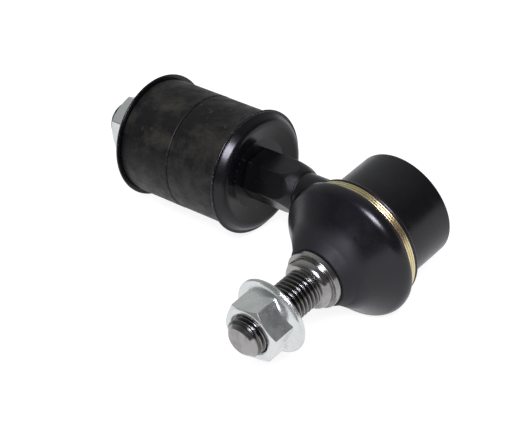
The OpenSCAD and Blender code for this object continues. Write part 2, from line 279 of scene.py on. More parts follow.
dust.links.new(spots, most.inputs[1])
dust.links.new(most.outputs[0], held.inputs[0])
dust.links.new(given["Amount"], held.inputs[1])
tint = add(dust, "ShaderNodeMix", data_type="RGBA")
dust.links.new(held.outputs[0], tint.inputs["Factor"])
dust.links.new(given["Bare"], tint.inputs["A"])
dust.links.new(given["Film"], tint.inputs["B"])
dust.links.new(tint.outputs["Result"], put["Color"])
dust.links.new(held.outputs[0], put["Mask"])
print("Dust has", len(dust.nodes), "nodes")

# %% Rings
rings, given, put = gloss_group("rings", 3000.0, 0.2, 0.4)
apart = add(rings, "ShaderNodeSeparateXYZ")
across = add(rings, "ShaderNodeVectorMath", operation="LENGTH")
flat = add(rings, "ShaderNodeCombineXYZ")
path = add(rings, "ShaderNodeMath", operation="ADD")
marks = add(rings, "ShaderNodeTexNoise", noise_dimensions="1D", in_Detail=3.0, in_Roughness=0.7)
rings.links.new(given["Vector"], apart.inputs[0])
rings.links.new(apart.outputs["X"], flat.inputs["X"])
rings.links.new(apart.outputs["Z"], flat.inputs["Z"])
rings.links.new(flat.outputs[0], across.inputs[0])
rings.links.new(across.outputs["Value"], path.inputs[0])
rings.links.new(apart.outputs["Y"], path.inputs[1])
rings.links.new(path.outputs[0], marks.inputs["W"])
rings.links.new(given["Scale"], marks.inputs["Scale"])
uneven = scale_range(rings, marks.outputs["Fac"], 0.3, 0.7, given["Smooth"], given["Rough"])
rings.links.new(uneven, put["Roughness"])
rings.links.new(marks.outputs["Fac"], put["Height"])
print("Rings has", len(rings.nodes), "nodes")

# %% [markdown]
# ## Finishes
# Each finish is one material that reads Object coordinates, so its pattern stays with the piece when a
# joint moves. Numbers that are the same all over the surface sit on the shader's own sockets, and only what
# changes comes from a group. The edge attribute, which a turned skin can carry, says where it is worn. On
# black paint it also places near-white flecks, painted as glints.

# %% Helpers for a finish
def finish_start(name, metallic, roughness, colour):
    """A new material, its node tree, its Principled shader and its Object coordinates."""
    material = bpy.data.materials.new(name)
    material.use_nodes = True
    tree = material.node_tree
    shader = tree.nodes["Principled BSDF"]
    shader.inputs["Metallic"].default_value = metallic
    shader.inputs["Roughness"].default_value = roughness
    shader.inputs["Base Color"].default_value = (*colour, 1)
    place = add(tree, "ShaderNodeTexCoord").outputs["Object"]
    return material, tree, shader, place


def use_group(tree, group, place, **values):
    """A group placed in a material with its own values."""
    node = add(tree, "ShaderNodeGroup", node_tree=group)
    tree.links.new(place, node.inputs["Vector"])
    for label, value in values.items():
        node.inputs[label].default_value = value
    return node


def relief(tree, shader, height, distance):
    """Fine relief from a height, in metres."""
    bump = add(tree, "ShaderNodeBump", in_Strength=1.0, in_Distance=distance)
    tree.links.new(height, bump.inputs["Height"])
    tree.links.new(bump.outputs["Normal"], shader.inputs["Normal"])


def dull_edge(tree, edge, roughness, amount):
    """A roughness that is raised by an amount where the edge attribute is 1."""
    node = add(tree, "ShaderNodeMath", operation="MULTIPLY_ADD", in_1=amount)
    tree.links.new(edge, node.inputs[0])
    tree.links.new(roughness, node.inputs[2])
    return node.outputs[0]


def dusty_finish(name, metallic, roughness, colour, gloss, dirt, depth, specular=0.5, dull=0.0):
    """A finish with its gloss and relief from grain and its colour from dust. Dull is for its edges."""
    material, tree, shader, place = finish_start(name, metallic, roughness, colour)
    shader.inputs["Specular IOR Level"].default_value = specular
    skin = use_group(tree, grain, place, **gloss)
    film = use_group(tree, dust, place, **dirt)
    skin_gloss = skin.outputs["Roughness"]
    if dull:
        edge = add(tree, "ShaderNodeAttribute", attribute_name="edge")
        skin_gloss = dull_edge(tree, edge.outputs["Fac"], skin_gloss, dull)
    tree.links.new(skin_gloss, shader.inputs["Roughness"])
    tree.links.new(film.outputs["Color"], shader.inputs["Base Color"])
    relief(tree, shader, skin.outputs["Height"], depth)
    return material


# %% Black paint on the forging and on the washers
def black_paint(name, colour, smooth, rough, depth, chip_and_glint, dull):
    """Black paint over steel: uneven gloss, a soft relief, and a dull place where edge is high, with
    near-white flecks there: chipped paint, painted white as glints.
    """
    material, tree, shader, place = finish_start(name, 0.0, 0.4, colour)
    shader.inputs["Specular IOR Level"].default_value = 0.42
    skin = use_group(tree, grain, place, Scale=420.0, Smooth=smooth, Rough=rough)
    film = use_group(
        tree, dust, place, Scale=160.0, Bare=(*colour, 1), Film=(0.012, 0.012, 0.0125, 1), Amount=0.4
    )
    edge = add(tree, "ShaderNodeAttribute", attribute_name="edge").outputs["Fac"]
    fleck_noise = add(tree, "ShaderNodeTexNoise", in_Scale=1900.0, in_Detail=3.0, in_Roughness=0.6)
    tree.links.new(place, fleck_noise.inputs["Vector"])
    broken = add(tree, "ShaderNodeMath", operation="MULTIPLY")
    tree.links.new(edge, broken.inputs[0])
    tree.links.new(fleck_noise.outputs["Fac"], broken.inputs[1])
    # Where the edge is high, broken flecks turn near-white: chipped paint, painted white as glints on the
    # worn edge.
    wear_and_glint = scale_range(tree, broken.outputs[0], 0.52, 0.56, 0.0, chip_and_glint)
    mix = add(tree, "ShaderNodeMix", data_type="RGBA", in_B=(1.0, 1.0, 0.98, 1))
    tree.links.new(wear_and_glint, mix.inputs["Factor"])
    tree.links.new(film.outputs["Color"], mix.inputs["A"])
    tree.links.new(mix.outputs["Result"], shader.inputs["Base Color"])
    tree.links.new(dull_edge(tree, edge, skin.outputs["Roughness"], dull), shader.inputs["Roughness"])
    relief(tree, shader, skin.outputs["Height"], depth)
    return material


forged_paint = black_paint(
    "forged_paint", (0.0035, 0.0035, 0.0037), smooth=0.21, rough=0.31, depth=0.000014, chip_and_glint=0.95, dull=0.5
)
gloss_paint = black_paint(
    "gloss_paint", (0.003, 0.003, 0.0036), smooth=0.2, rough=0.3, depth=0.000004, chip_and_glint=0.06, dull=0.0
)

# %% Rubber of the boot
BOOT_BLACK, BOOT_FILM = (0.0045, 0.0045, 0.006, 1), (0.014, 0.014, 0.0175, 1)

boot_rubber = dusty_finish(
    "boot_rubber", 0.0, 0.3, (0.005, 0.005, 0.0068),
    gloss={"Scale": 300.0, "Smooth": 0.2, "Rough": 0.3},
    dirt={"Scale": 110.0, "Bare": BOOT_BLACK, "Film": BOOT_FILM, "Amount": 0.5},
    depth=0.000018,
    dull=0.4,
)

# %% Rubber of the bushes
BUSH_BLACK, BUSH_FILM = (0.0022, 0.0022, 0.002, 1), (0.052, 0.05, 0.036, 1)

bush_rubber = dusty_finish(
    "bush_rubber", 0.0, 0.6, (0.03, 0.03, 0.028),
    gloss={"Scale": 340.0, "Smooth": 0.42, "Rough": 0.66},
    dirt={"Scale": 75.0, "Bare": BUSH_BLACK, "Film": BUSH_FILM, "Amount": 0.9},
    depth=0.00008,
    specular=0.36,
)

# %% Zinc plate of the nuts
ZINC_CLEAN, ZINC_DULL = (0.8, 0.83, 0.79, 1), (0.6, 0.64, 0.59, 1)

zinc = dusty_finish(
    "zinc", 0.93, 0.3, (0.64, 0.66, 0.65),
    gloss={"Scale": 260.0, "Smooth": 0.16, "Rough": 0.34},
    dirt={"Scale": 140.0, "Bare": ZINC_CLEAN, "Film": ZINC_DULL, "Amount": 0.7},
    depth=0.000012,
)

# %% Yellow plate of the clip
yellow_zinc, tree, shader, place = finish_start("yellow_zinc", 1.0, 0.26, (0.84, 0.74, 0.46))
drift = add(tree, "ShaderNodeTexNoise", in_Scale=95.0, in_Detail=3.0, in_Roughness=0.55)
tree.links.new(place, drift.inputs["Vector"])
hues = add(tree, "ShaderNodeValToRGB")
low_hue, high_hue = hues.color_ramp.elements
low_hue.position, low_hue.color = 0.34, (0.66, 0.43, 0.3, 1)
high_hue.position, high_hue.color = 0.68, (0.8, 0.76, 0.44, 1)
middle_hue = hues.color_ramp.elements.new(0.47)
middle_hue.color = (0.84, 0.73, 0.43, 1)
tree.links.new(drift.outputs["Fac"], hues.inputs["Fac"])
tree.links.new(hues.outputs["Color"], shader.inputs["Base Color"])
skin = use_group(tree, grain, place, Scale=500.0, Smooth=0.2, Rough=0.3)
tree.links.new(skin.outputs["Roughness"], shader.inputs["Roughness"])

# %% Turned steel, with painted shade in the thread grooves
BRIGHT, GROOVE_SHADE = (0.42, 0.41, 0.395), (0.12, 0.117, 0.11)

bright_steel, tree, shader, place = finish_start("bright_steel", 1.0, 0.3, BRIGHT)
skin = use_group(tree, rings, place, Scale=2600.0, Smooth=0.12, Rough=0.28)
spots = use_group(
    tree, dust, place, Scale=260.0, Bare=(*BRIGHT, 1), Film=(0.14, 0.135, 0.12, 1), Amount=0.6
)
groove_shade_dust = use_group(tree, dust, place, Scale=420.0, Bare=(*GROOVE_SHADE, 1), Film=(0.2, 0.195, 0.18, 1), Amount=0.6)
# Painted shade: the steel darkens with the depth of the thread's groove, and that dark carries its own dust
# patches.
groove = add(tree, "ShaderNodeAttribute", attribute_name="groove")
groove_shade_mask = scale_range(tree, groove.outputs["Fac"], 0.0, 0.22, 0.0, 1.0)
mix = add(tree, "ShaderNodeMix", data_type="RGBA")
tree.links.new(groove_shade_mask, mix.inputs["Factor"])
tree.links.new(spots.outputs["Color"], mix.inputs["A"])
tree.links.new(groove_shade_dust.outputs["Color"], mix.inputs["B"])
tree.links.new(mix.outputs["Result"], shader.inputs["Base Color"])
tree.links.new(skin.outputs["Roughness"], shader.inputs["Roughness"])
relief(tree, shader, skin.outputs["Height"], 0.000006)

# %% Resin of the ball seat
resin, tree, shader, place = finish_start("resin", 0.0, 0.45, (0.72, 0.7, 0.62))
skin = use_group(tree, grain, place, Scale=500.0, Smooth=0.38, Rough=0.52)
tree.links.new(skin.outputs["Roughness"], shader.inputs["Roughness"])
print("Finishes:", ", ".join(m.name for m in bpy.data.materials))

# %% [markdown]
# ## Turned shapes
# A turned piece is a profile swept round an axis. Sharp corners look false in a render, so each corner of
# a profile carries a small radius, and a point is held close to each radius to keep the long faces flat
# under smooth shading.

# %% Profiles
def rounded(corners, closed=True, steps=6, hold=0.07):
    """Profile points (radius, station, edge) from corners (radius, station, corner radius), all in mm."""
    made = []
    count = len(corners)
    for i, (r, z, size) in enumerate(corners):
        here = np.array((r, z), float)
        if size <= 0 or (not closed and i in (0, count - 1)):
            made.append([(here[0], here[1], 0.0)])
            continue
        ends = [np.array(corners[(i + k) % count][:2], float) - here for k in (-1, 1)]
        lengths = [np.linalg.norm(e) for e in ends]
        ways = [e / n for e, n in zip(ends, lengths)]
        half = math.acos(np.clip(ways[0] @ ways[1], -1, 1)) / 2
        reach = min(size / math.tan(half), 0.48 * min(lengths))
        size = reach * math.tan(half)
        inward = (ways[0] + ways[1]) / np.linalg.norm(ways[0] + ways[1])
        middle = here + inward * size / math.sin(half)
        first, last = (here + w * reach - middle for w in ways)
        start = math.atan2(first[1], first[0])
        sweep = (math.atan2(last[1], last[0]) - start + math.pi) % (2 * math.pi) - math.pi
        arc = [start + sweep * k / steps for k in range(steps + 1)]
        made.append([(*(middle + size * np.array((math.cos(a), math.sin(a)))), 1.0) for a in arc])
    points = []
    for i, group in enumerate(made):
        points.extend(group)
        if not closed and i == count - 1:
            break
        p, q = np.array(group[-1][:2]), np.array(made[(i + 1) % count][0][:2])
        gap = np.linalg.norm(q - p)
        if gap > 4 * hold:
            points.append((*(p + (q - p) * hold / gap), 0.0))
            points.append((*(q - (q - p) * hold / gap), 0.0))
    return np.array(points)


def arc_points(r, z, size, start, end, steps):
    """Points of an arc in the profile plane, with its middle at (r, z). Angles in degrees."""
    turns = np.radians(np.linspace(start, end, steps))
    return [(r + size * math.cos(a), z + size * math.sin(a), 0.0) for a in turns]


# %% Skins
COLUMNS = 180


def skin_mesh(name, radius, station, closed, edge=None):
    """Rings of points about the local Z axis, joined into one closed skin. In mm, rows by columns."""
    radius = np.asarray(radius, float)
    station = np.broadcast_to(np.asarray(station, float), radius.shape)
    rows, columns = radius.shape
    angle = np.linspace(0, 2 * math.pi, columns, endpoint=False)
    points, rings_at = [], []
    for i in range(rows):
        if radius[i].max() < 1e-6:
            rings_at.append([len(points)] * columns)
            points.append((0.0, 0.0, station[i, 0] * MM))
            continue
        rings_at.append(list(range(len(points), len(points) + columns)))
        ring = np.stack([radius[i] * np.cos(angle), radius[i] * np.sin(angle), station[i]], -1) * MM
        points.extend(map(tuple, ring))
    r0, z0 = radius[:, 0], station[:, 0]
    area = np.sum(r0 * np.roll(z0, -1) - np.roll(r0, -1) * z0)
    faces = []
    for i in range(rows if closed else rows - 1):
        low, high = rings_at[i], rings_at[(i + 1) % rows]
        for j in range(columns):
            k = (j + 1) % columns
            face = list(dict.fromkeys((low[j], low[k], high[k], high[j])))
            faces.append(face if area > 0 else face[::-1])
    mesh = bpy.data.meshes.new(name)
    mesh.from_pydata(points, [], faces)
    mesh.polygons.foreach_set("use_smooth", [True] * len(mesh.polygons))
    if edge is not None:
        values = np.zeros(len(points), np.float32)
        for i in range(rows):
            values[rings_at[i]] = edge[i]
        mesh.attributes.new("edge", "FLOAT", "POINT").data.foreach_set("value", values)
    return mesh


def lathe(name, profile, closed=True, columns=COLUMNS):
    """A turned skin from profile points (radius, station, edge)."""
    profile = np.asarray(profile, float)
    radius = np.repeat(profile[:, :1], columns, 1)
    return skin_mesh(name, radius, profile[:, 1:2], closed, profile[:, 2])


def piece(mesh, axes, material, body, slot, *nodes):
    """An object from a mesh that is laid on its axis, given its finish, and set on its body."""
    mesh.transform(axes)
    mesh.materials.clear()
    mesh.materials.append(material)
    obj = bpy.data.objects.new(mesh.name, mesh)
    bpy.context.scene.collection.objects.link(obj)
    if body:
        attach(obj, body)
    if nodes:
        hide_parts(*nodes)
    print(obj.name, "has", len(mesh.polygons), "faces")
    return obj


# %% [markdown]
# ## Threads
# A thread is a rule: the radius falls and rises once for each pitch along the axis, and that pattern turns
# once round the axis. A Geometry Nodes tree states the rule for any turned skin, outside or inside, and
# keeps the depth of the groove as an attribute, so that shade can be painted into the steel there.
# Modelled once, it cuts the stud, the stem and the nuts.

# %% Helpers for Geometry Nodes trees
def new_tree(name, numbers):
    """An empty Geometry Nodes tree whose inputs are geometry, named numbers and a finish."""
    tree = bpy.data.node_groups.new(name, "GeometryNodeTree")
    tree.interface.new_socket("Geometry", in_out="INPUT", socket_type="NodeSocketGeometry")
    for label in numbers:
        tree.interface.new_socket(label, in_out="INPUT", socket_type="NodeSocketFloat")
    tree.interface.new_socket("Finish", in_out="INPUT", socket_type="NodeSocketMaterial")
    tree.interface.new_socket("Geometry", in_out="OUTPUT", socket_type="NodeSocketGeometry")
    return tree, tree.nodes.new("NodeGroupInput").outputs, tree.nodes.new("NodeGroupOutput").inputs


def calculator(tree):
    """A function that adds math nodes to one tree, each from sockets or numbers."""

    def calc(operation, *parts):
        node = tree.nodes.new("ShaderNodeMath")
        node.operation = operation
        for socket, part in zip(node.inputs, parts):
            if isinstance(part, (int, float)):
                socket.default_value = part
            else:
                tree.links.new(part, socket)
        return node.outputs[0]

    return calc


def point_parts(tree):
    """The X, Y and Z of each point."""
    apart = tree.nodes.new("ShaderNodeSeparateXYZ")
    tree.links.new(tree.nodes.new("GeometryNodeInputPosition").outputs[0], apart.inputs[0])
    return apart.outputs


def point_from(tree, *parts):
    """A point from its X, Y and Z."""
    node = tree.nodes.new("ShaderNodeCombineXYZ")
    for socket, part in zip(node.inputs, parts):
        tree.links.new(part, socket)
    return node.outputs[0]


def end_tree(tree, geometry, finish, put):
    """Closes a tree: real geometry with its finish."""
    real = tree.nodes.new("GeometryNodeRealizeInstances")
    paint = tree.nodes.new("GeometryNodeSetMaterial")
    tree.links.new(geometry, real.inputs[0])
    tree.links.new(real.outputs[0], paint.inputs["Geometry"])
    tree.links.new(finish, paint.inputs["Material"])
    tree.links.new(paint.outputs["Geometry"], put[0])


def run_tree(mesh, tree, **values):
    """The mesh that a Geometry Nodes tree makes of another, as a plain mesh."""
    name = mesh.name
    mesh.name = name + "_blank"
    carrier = bpy.data.objects.new(name + "_carrier", mesh)
    bpy.context.scene.collection.objects.link(carrier)
    modifier = carrier.modifiers.new(tree.name, "NODES")
    modifier.node_group = tree
    for item in tree.interface.items_tree:
        if item.in_out == "INPUT" and item.name in values:
            modifier[item.identifier] = values[item.name]
    seen = carrier.evaluated_get(bpy.context.evaluated_depsgraph_get())
    result = bpy.data.meshes.new_from_object(seen)
    result.name = name
    bpy.data.objects.remove(carrier)
    bpy.data.meshes.remove(mesh)
    return result


# %% Thread tree
PITCH = 1.25
CREST_SHARE, FLANKS_SHARE = 0.07, 0.78
THREAD_ROOM, AXIS_ROOM = 1.75 * MM, 0.5 * MM

thread_tree, given, put = new_tree("thread", ("Radius", "Pitch", "Depth", "Start", "End", "Runout", "Side"))
calc = calculator(thread_tree)
x, y, z = point_parts(thread_tree)

# The wave runs once for each pitch and once round the axis, and the groove is cut from it
reach = calc("SQRT", calc("ADD", calc("MULTIPLY", x, x), calc("MULTIPLY", y, y)))
turns = calc("DIVIDE", calc("ARCTAN2", y, x), 2 * math.pi)
wave = calc("FRACT", calc("SUBTRACT", calc("DIVIDE", z, given["Pitch"]), turns))
slope = calc("SUBTRACT", 1.0, calc("ABSOLUTE", calc("MULTIPLY_ADD", wave, 2.0, -1.0)))
groove_cut = calc("DIVIDE", calc("SUBTRACT", slope, CREST_SHARE), FLANKS_SHARE)
groove_cut = calc("MINIMUM", calc("MAXIMUM", groove_cut, 0.0), 1.0)

# The groove runs out softly at both ends
ramp = calc("DIVIDE", calc("SUBTRACT", z, given["Start"]), given["Runout"])
fade = calc("DIVIDE", calc("SUBTRACT", given["End"], z), given["Runout"])
ends = calc("MINIMUM", calc("MAXIMUM", calc("MINIMUM", ramp, fade), 0.0), 1.0)
groove_cut = calc("MULTIPLY", groove_cut, ends)

# Side is 1 outside and -1 in a bore, so one minimum serves both
crest = calc("MULTIPLY", given["Side"], given["Radius"])
limit = calc("SUBTRACT", crest, calc("MULTIPLY", given["Depth"], groove_cut))
trimmed = calc("MINIMUM", calc("MULTIPLY", given["Side"], reach), limit)
new_reach = calc("MULTIPLY", given["Side"], trimmed)

# Only points between the ends and near the thread's radius move
after = calc("GREATER_THAN", z, given["Start"])
before = calc("LESS_THAN", z, given["End"])
near = calc("LESS_THAN", calc("ABSOLUTE", calc("SUBTRACT", reach, given["Radius"])), THREAD_ROOM)
off_axis = calc("GREATER_THAN", reach, AXIS_ROOM)
picked = calc("MULTIPLY", calc("MULTIPLY", after, before), calc("MULTIPLY", near, off_axis))
grow = calc("DIVIDE", new_reach, calc("MAXIMUM", reach, 1e-6))
moved = point_from(thread_tree, calc("MULTIPLY", x, grow), calc("MULTIPLY", y, grow), z)
store = thread_tree.nodes.new("GeometryNodeStoreNamedAttribute")
store.data_type, store.domain = "FLOAT", "POINT"
store.inputs["Name"].default_value = "groove"
thread_tree.links.new(given["Geometry"], store.inputs["Geometry"])
thread_tree.links.new(calc("MULTIPLY", groove_cut, picked), store.inputs["Value"])
shift = thread_tree.nodes.new("GeometryNodeSetPosition")
thread_tree.links.new(store.outputs["Geometry"], shift.inputs["Geometry"])
thread_tree.links.new(picked, shift.inputs["Selection"])
thread_tree.links.new(moved, shift.inputs["Position"])
end_tree(thread_tree, shift.outputs["Geometry"], given["Finish"], put)


def cut_thread(mesh, finish, radius, start, end, runout=1.0, side=1.0, depth=0.74):
    """The mesh with a thread between two stations, sizes in mm."""
    sizes = {"Radius": radius, "Pitch": PITCH, "Depth": depth, "Start": start, "End": end, "Runout": runout}
    return run_tree(mesh, thread_tree, **{k: v * MM for k, v in sizes.items()}, Side=side, Finish=finish)


print("Thread tree has", len(thread_tree.nodes), "nodes")

# %% [markdown]
# ## Ball stud
# The stud is one steel piece: a ball with a flat, a neck, a seat for the boot's ring, a collar, a rounded
# pilot shoulder and the thread. Its profile is turned, with close rows along the thread so that the tree
# can cut it.

# %% Ball stud
BALL_R, BALL_AT, BALL_FLAT_AT = 8.0, 1.5, -4.0
NECK_R, BOOT_SEAT_R = 4.5, 6.25
COLLAR_R, COLLAR_START, COLLAR_END = 7.6, 24.75, 26.4
PILOT_R, PILOT_END = 6.6, 27.7
THREAD_R, THREAD_START, THREAD_END, STUD_END = 5.0, 29.2, 51.3, 52.1

stud_ball = [(0.0, BALL_FLAT_AT, 0.0), (5.6, BALL_FLAT_AT, 0.0)]
stud_ball += arc_points(0.0, BALL_AT, BALL_R, -43.4, 55.8, 34)
stud_middle = rounded(
    [
        (NECK_R, 8.3, 0),
        (NECK_R, 12.5, 3.0),
        (BOOT_SEAT_R, 17.5, 3.0),
        (BOOT_SEAT_R, COLLAR_START, 0.1),
        (COLLAR_R, COLLAR_START, 0.28),
        (COLLAR_R, COLLAR_END, 0.22),
        (PILOT_R, COLLAR_END, 0.1),
        (PILOT_R, PILOT_END, 0),
    ],
    closed=False,
)
stud_shoulder = arc_points(5.1, PILOT_END, 1.5, 6, 68, 12)
stud_shoulder += [(5.4, 29.16, 0.0), (5.1, THREAD_START, 0.0), (5.02, 29.28, 0.0)]
thread_rows = [(THREAD_R, z, 0.0) for z in np.linspace(29.36, 50.5, 372)]
tip_rows = [(THREAD_R - k, 50.6 + k, 0.0) for k in np.linspace(0.0, 1.3, 22)]
stud_tip = [(3.58, 51.99, 0.0), (3.42, 52.07, 0.0)] + [(r, STUD_END, 0.0) for r in (3.2, 1.6, 0.0)]
stud_profile = np.concatenate([stud_ball, stud_middle, stud_shoulder, thread_rows, tip_rows, stud_tip])
stud_mesh = lathe("stud_turned", stud_profile, closed=False, columns=144)
stud_mesh = cut_thread(stud_mesh, bright_steel, THREAD_R, THREAD_START, THREAD_END)
piece(stud_mesh, STUD_AXES, bright_steel, "stud", "bright_steel", "ball_stud")

# %% [markdown]
# ## Dust boot
# The boot is a soft bell: a bead in the housing's groove, a full bulge, a hollow flare and a neck on the
# stud. Its flare and neck follow the photograph and are fuller than the CAD solid's. It crosses the joint,
# so it is set on no body, and its place is baked into its mesh. The neck is scuffed, so its edge attribute
# grows along the flare and is full at the mouth.

# %% Dust boot
BULGE_R, BULGE_AT, BULGE_ROUND, BOOT_WALL = 15.25, 12.46, 2.99, 1.78
FLARE_R, FLARE_END = 9.66, 22.0
FLARE_SLOPE, FLARE_HOLLOW = 0.882, 0.0212
MOUTH_R, MOUTH_END = 7.02, 24.64
SCUFF_START, SCUFF_LENGTH = 18.5, 3.0

boot_back = rounded(
    [
        (16.2, 12.73, 0),
        (14.3, 11.3, 0.3),
        (14.3, 10.17, 0.2),
        (13.47, 10.17, 0.1),
        (13.47, 6.98, 0.15),
        (15.9, 6.98, 0),
    ],
    closed=False,
)
clip_seat = rounded(
    [(16.12, 8.0, 0), (15.87, 8.05, 0.04), (15.87, 11.37, 0.12), (17.78, 11.37, 0)],
    closed=False,
)
boot_flare = [
    (FLARE_R + FLARE_SLOPE * u + FLARE_HOLLOW * u * u, FLARE_END - u, 0.0) for u in np.linspace(7.1, 0.5, 14)
]
boot_neck = rounded(
    [
        (9.925, 21.7, 0),
        (FLARE_R, FLARE_END, 0.2),
        (8.12, MOUTH_END, 0.25),
        (MOUTH_R, MOUTH_END, 0.1),
        (MOUTH_R, 21.87, 0.3),
        (8.8, 20.06, 1.0),
        (16.0, 13.4, 0),
    ],
    closed=False,
)
boot_profile = np.concatenate(
    [
        boot_back,
        arc_points(15.95, 7.485, 0.51, -84, 66, 12),
        clip_seat,
        arc_points(17.8, 11.71, 0.34, -84, -25, 7),
        arc_points(BULGE_R, BULGE_AT, BULGE_ROUND, -12, 50, 24),
        boot_flare,
        boot_neck,
        arc_points(BULGE_R, BULGE_AT, BULGE_ROUND - BOOT_WALL, 46, 20, 5),
    ]
)
boot_profile[:, 2] = np.clip((boot_profile[:, 1] - SCUFF_START) / SCUFF_LENGTH, 0.0, 1.0)
boot = piece(lathe("boot_bell", boot_profile), STUD_AXES, boot_rubber, None, "boot_rubber", "dust_boot")
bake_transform(boot)

# %% [markdown]
# ## Wire clip
# The clip is a spring of three turns of yellow-plated wire. Each turn lies flat and steps over to the next
# in a short crossing. A tree makes it from a spiral: the spline's own parameter says which turn a point is
# on, a smooth step moves it over, and a small circle is swept along the result.

# %% Wire clip
CLIP_SIZES = {"Ring radius": 16.195, "Wire radius": 0.305, "First": 8.405, "Pitch": 0.66}
CLIP_TURNS, CROSSING_SHARE = 2.985, 0.07
CLIP_START_DEG = -110

clip_tree, given, put = new_tree("wire_clip", (*CLIP_SIZES, "Turns"))
calc = calculator(clip_tree)
spiral = clip_tree.nodes.new("GeometryNodeCurveSpiral")
spiral.inputs["Resolution"].default_value = 128
spiral.inputs["Height"].default_value = 0.0
clip_tree.links.new(given["Turns"], spiral.inputs["Rotations"])
clip_tree.links.new(given["Ring radius"], spiral.inputs["Start Radius"])
clip_tree.links.new(given["Ring radius"], spiral.inputs["End Radius"])
along = clip_tree.nodes.new("GeometryNodeSplineParameter").outputs["Factor"]
turn_at = calc("MULTIPLY", along, given["Turns"])
whole = calc("FLOOR", turn_at)
past = calc("SUBTRACT", calc("SUBTRACT", turn_at, whole), 1 - CROSSING_SHARE)
share = calc("MAXIMUM", calc("DIVIDE", past, CROSSING_SHARE), 0.0)
step = calc("MULTIPLY", calc("MULTIPLY", share, share), calc("SUBTRACT", 3.0, calc("MULTIPLY", share, 2.0)))
height = calc("MULTIPLY_ADD", calc("ADD", whole, step), given["Pitch"], given["First"])
x, y, _ = point_parts(clip_tree)
shift = clip_tree.nodes.new("GeometryNodeSetPosition")
clip_tree.links.new(spiral.outputs["Curve"], shift.inputs["Geometry"])
clip_tree.links.new(point_from(clip_tree, x, y, height), shift.inputs["Position"])
wire = clip_tree.nodes.new("GeometryNodeCurvePrimitiveCircle")
wire.inputs["Resolution"].default_value = 20
clip_tree.links.new(given["Wire radius"], wire.inputs["Radius"])
sweep = clip_tree.nodes.new("GeometryNodeCurveToMesh")
sweep.inputs["Fill Caps"].default_value = True
clip_tree.links.new(shift.outputs["Geometry"], sweep.inputs["Curve"])
clip_tree.links.new(wire.outputs["Curve"], sweep.inputs["Profile Curve"])
end_tree(clip_tree, sweep.outputs["Mesh"], given["Finish"], put)
clip_values = {k: v * MM for k, v in CLIP_SIZES.items()}
clip_blank = bpy.data.meshes.new("clip_wire")
clip_mesh = run_tree(clip_blank, clip_tree, **clip_values, Turns=CLIP_TURNS, Finish=yellow_zinc)
clip_mesh.transform(Matrix.Rotation(math.radians(CLIP_START_DEG), 4, "Z"))
clip_mesh.polygons.foreach_set("use_smooth", [True] * len(clip_mesh.polygons))
piece(clip_mesh, STUD_AXES, yellow_zinc, "boot", "clip_wire", "boot_clip_ring")

# %% [markdown]
# ## Forged body
# The body is one forging. The housing is turned, so it is a lathe profile with its rolled rim and its boot
# groove. The shank is made of rings about the stem: a root that flares into the housing, a waist, a hexagon
# whose end is a long round with a small step, a shoulder, and a stem with a thread at its end. Soft minimum
# and maximum functions blend those forms.

# %% Soft blends and a hexagon
def soft_max(a, b, size):
    """The larger of two values, with a rounded change-over."""
    h = np.clip(0.5 + 0.5 * (a - b) / size, 0, 1)
    return b + (a - b) * h + size * h * (1 - h)


def soft_min(a, b, size):
    """The smaller of two values, with a rounded change-over."""
    return -soft_max(-a, -b, size)


def bell(x, middle, width, power=2):
    """A value that is 1 at the middle and falls to 0 on both sides."""
    return np.exp(-(((x - middle) / width) ** power))


def hexagon(across, turned, columns, crispness):
    """Radius of a hexagon with slightly rounded corners, for each column, in mm. A corner is at turned."""
    angle = np.linspace(0, 2 * math.pi, columns, endpoint=False)
    sides = np.radians(turned + 30 + 60 * np.arange(6))
    facing = np.maximum(np.cos(angle[:, None] - sides[None, :]), 1e-3)
    return across / 2 / np.sum(facing**crispness, 1) ** (1 / crispness)


# %% Housing
HOUSING_R, RIM_R, LIP_R, GROOVE_R = 14.2, 10.4, 14.0, 13.4
SEAT_R, PLATE_R, MOUTH_HOLE_R = 10.6, 11.6, 7.8

housing_corners = [
    (RIM_R, -8.65, 0.25), (HOUSING_R, -8.65, 0.62), (HOUSING_R, 6.91, 0.15), (GROOVE_R, 6.91, 0.1),
    (GROOVE_R, 10.2, 0.1), (LIP_R, 10.2, 0.15), (LIP_R, 11.2, 0.4), (9.4, 11.2, 0.3),
    (MOUTH_HOLE_R, 7.0, 0.2), (MOUTH_HOLE_R, 5.6, 0.1), (SEAT_R, 5.6, 0.1), (SEAT_R, -6.2, 0.1),
    (PLATE_R, -6.2, 0.1), (PLATE_R, -7.85, 0.1), (RIM_R, -7.85, 0.1),
]
housing_profile = rounded(housing_corners)
housing_profile[:, 2] = 0.0
housing_mesh = lathe("forged_housing", housing_profile, columns=420)
piece(housing_mesh, STUD_AXES, forged_paint, "link", "forged_body", "link_body")

# %% Root of the shank
SHANK_COLUMNS = 240
WAIST_R = 5.0
ROOT_UP, ROOT_BEHIND, ROOT_FRONT = 3.0, 1.9, 1.4

shank_rings = []


def shank_ring(radius, station, wear_and_glint=0.0):
    """Adds a ring to the shank. Its radius, station and wear with painted glints are one number or one for
    each column.
    """
    shank_rings.append([np.broadcast_to(value, SHANK_COLUMNS) for value in (radius, station, wear_and_glint)])


angle = np.linspace(0, 2 * math.pi, SHANK_COLUMNS, endpoint=False)
root_side = np.where(np.sin(angle) > 0, ROOT_BEHIND, ROOT_FRONT)
root = ROOT_UP * np.cos(angle) ** 2 + root_side * np.sin(angle) ** 2
for r in (0.0, 3.0):
    shank_ring(r, 11.0)
for bend in np.radians(np.linspace(90, 0, 24)):
    r = WAIST_R + root * (1 - math.cos(bend))
    wall = np.sqrt(HOUSING_R**2 - (r * np.cos(angle)) ** 2) - 0.05
    shank_ring(r, wall + root * (1 - math.sin(bend)))
print("Root has", len(shank_rings), "rings")

# %% Waist and hexagon, worn where the hexagon ends, with painted glint flecks there
HEX_ACROSS, HEX_REACH, HEX_START, END_ROUND = 12.0, 7.0, 31.0, 13.8
WEAR_GLINT_DEG = -37

